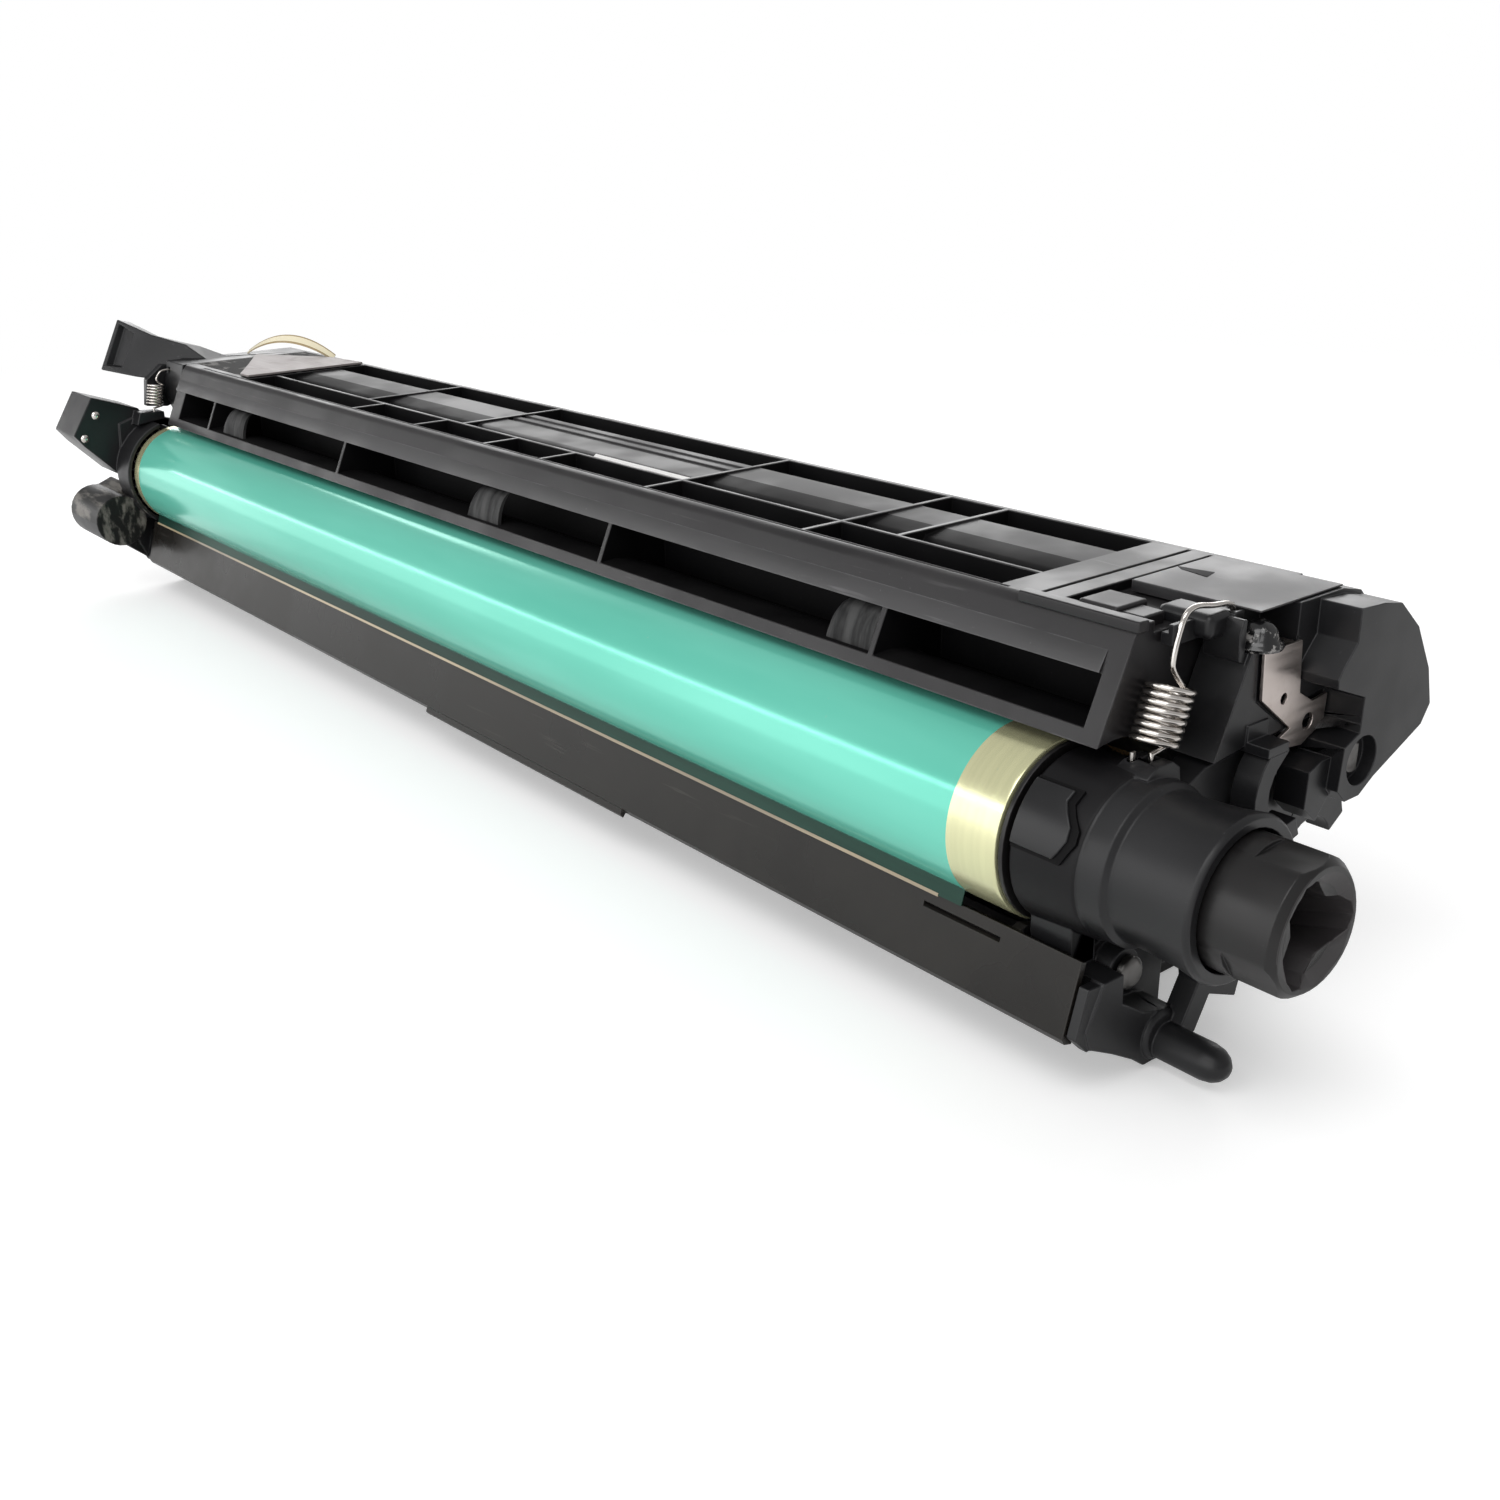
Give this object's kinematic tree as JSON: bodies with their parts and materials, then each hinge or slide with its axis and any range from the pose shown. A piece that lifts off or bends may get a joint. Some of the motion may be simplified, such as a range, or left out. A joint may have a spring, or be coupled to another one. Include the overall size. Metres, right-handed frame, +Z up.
{
  "type": "printer drum unit",
  "caption": "Laser printer drum unit: coated drum with a three-lobed drive coupling in a black carrier, and a sprung hinged cleaner frame over it",
  "frame": {"origin": "on the surface it stands on, under the middle of its box", "axes": "+X along the drum towards the drive coupling, +Y towards the back, +Z up"},
  "size_m": [0.435, 0.088, 0.0815],
  "materials": {
    "black_plastic": "satin moulded black plastic",
    "grey_plastic": "smooth dark grey moulded plastic",
    "gloss_black": "glossy black plastic",
    "drum_coating": "green photoconductor coating on an aluminium tube, glossy",
    "steel": "bright nickel-plated steel",
    "contact_metal": "pressed sheet metal, pinkish silver",
    "plate_metal": "grey-lilac sheet",
    "blade_rubber": "amber polyurethane rubber",
    "roller_rubber": "black conductive rubber",
    "foam": "grey foam",
    "clear_film": "thin tinted film",
    "cream_film": "thin cream film",
    "gear_plastic": "dark acetal"
  },
  "bodies": {
    "drum_carrier": {"drive_end_bracket": "black_plastic", "far_end_bracket": "black_plastic", "lower_housing": "black_plastic", "lower_shield": "gloss_black", "shield_film": "clear_film", "drive_bearing": "grey_plastic", "sleeve_lock_pin": "steel", "bracket_screw": "steel", "far_axle_pin": "steel", "drive_charge_bearing": "grey_plastic", "far_charge_bearing": "grey_plastic", "drive_charge_spring": "steel", "far_charge_spring": "steel", "far_contact_pin_1": "steel", "far_contact_pin_2": "steel"},
    "cleaner_frame": {"cleaner_frame": "black_plastic", "drive_end_cap": "black_plastic", "far_end_cap": "black_plastic", "top_cover": "grey_plastic", "contact_plate": "contact_metal", "contact_screw": "steel", "drive_hinge_pin": "steel", "far_hinge_pin": "steel", "blade_holder": "steel", "cleaning_blade": "blade_rubber", "blade_screw_1": "steel", "blade_screw_2": "steel", "window_clip_1": "grey_plastic", "window_clip_2": "grey_plastic", "window_clip_3": "grey_plastic", "top_film": "cream_film", "far_top_plate": "plate_metal", "idler_pin": "steel", "drive_tension_spring": "steel", "far_tension_spring": "steel"},
    "drum": {"drum_tube": "drum_coating", "drive_flange": "black_plastic", "far_flange": "gear_plastic", "drum_earth_plate": "contact_metal"},
    "charge_roller": {"charge_shaft": "steel", "charge_rubber": "roller_rubber"},
    "foam_roller": {"foam_shaft": "steel", "cleaning_foam": "foam"},
    "waste_screw": {"waste_auger": "grey_plastic", "auger_gear": "gear_plastic"},
    "idler": {"idler_gear": "gear_plastic"}
  },
  "joints": [
    {"name": "cleaner_hinge", "type": "hinge", "parent": "drum_carrier", "child": "cleaner_frame", "pos_m": [0, 0.025, 0.0442], "axis": [-1, 0, 0], "range_deg": [0, 2.5], "stiffness_Nm_per_rad": 1, "deforming": ["drive_tension_spring", "far_tension_spring"]},
    {"name": "drum_spin", "type": "hinge", "parent": "drum_carrier", "child": "drum", "pos_m": [0, -0.016, 0.0365], "axis": [1, 0, 0], "continuous": true},
    {"name": "charge_roller_spin", "type": "hinge", "parent": "drum_carrier", "child": "charge_roller", "pos_m": [0, -0.00378, 0.01905], "axis": [1, 0, 0], "continuous": true},
    {"name": "foam_roller_spin", "type": "hinge", "parent": "drum_carrier", "child": "foam_roller", "pos_m": [0, 0.00137, 0.01013], "axis": [1, 0, 0], "continuous": true},
    {"name": "idler_spin", "type": "hinge", "parent": "cleaner_frame", "child": "idler", "pos_m": [0, -0.00059, 0.05384], "axis": [1, 0, 0], "continuous": true},
    {"name": "waste_screw_spin", "type": "hinge", "parent": "cleaner_frame", "child": "waste_screw", "pos_m": [0, 0.01, 0.063], "axis": [1, 0, 0], "continuous": true}
  ],
  "couplings": [
    {"joint": "charge_roller_spin", "follows": "drum_spin", "ratio": -2.5},
    {"joint": "foam_roller_spin", "follows": "drum_spin", "ratio": 3.75},
    {"joint": "idler_spin", "follows": "drum_spin", "ratio": -1.6364},
    {"joint": "waste_screw_spin", "follows": "drum_spin", "ratio": 2.7692}
  ]
}
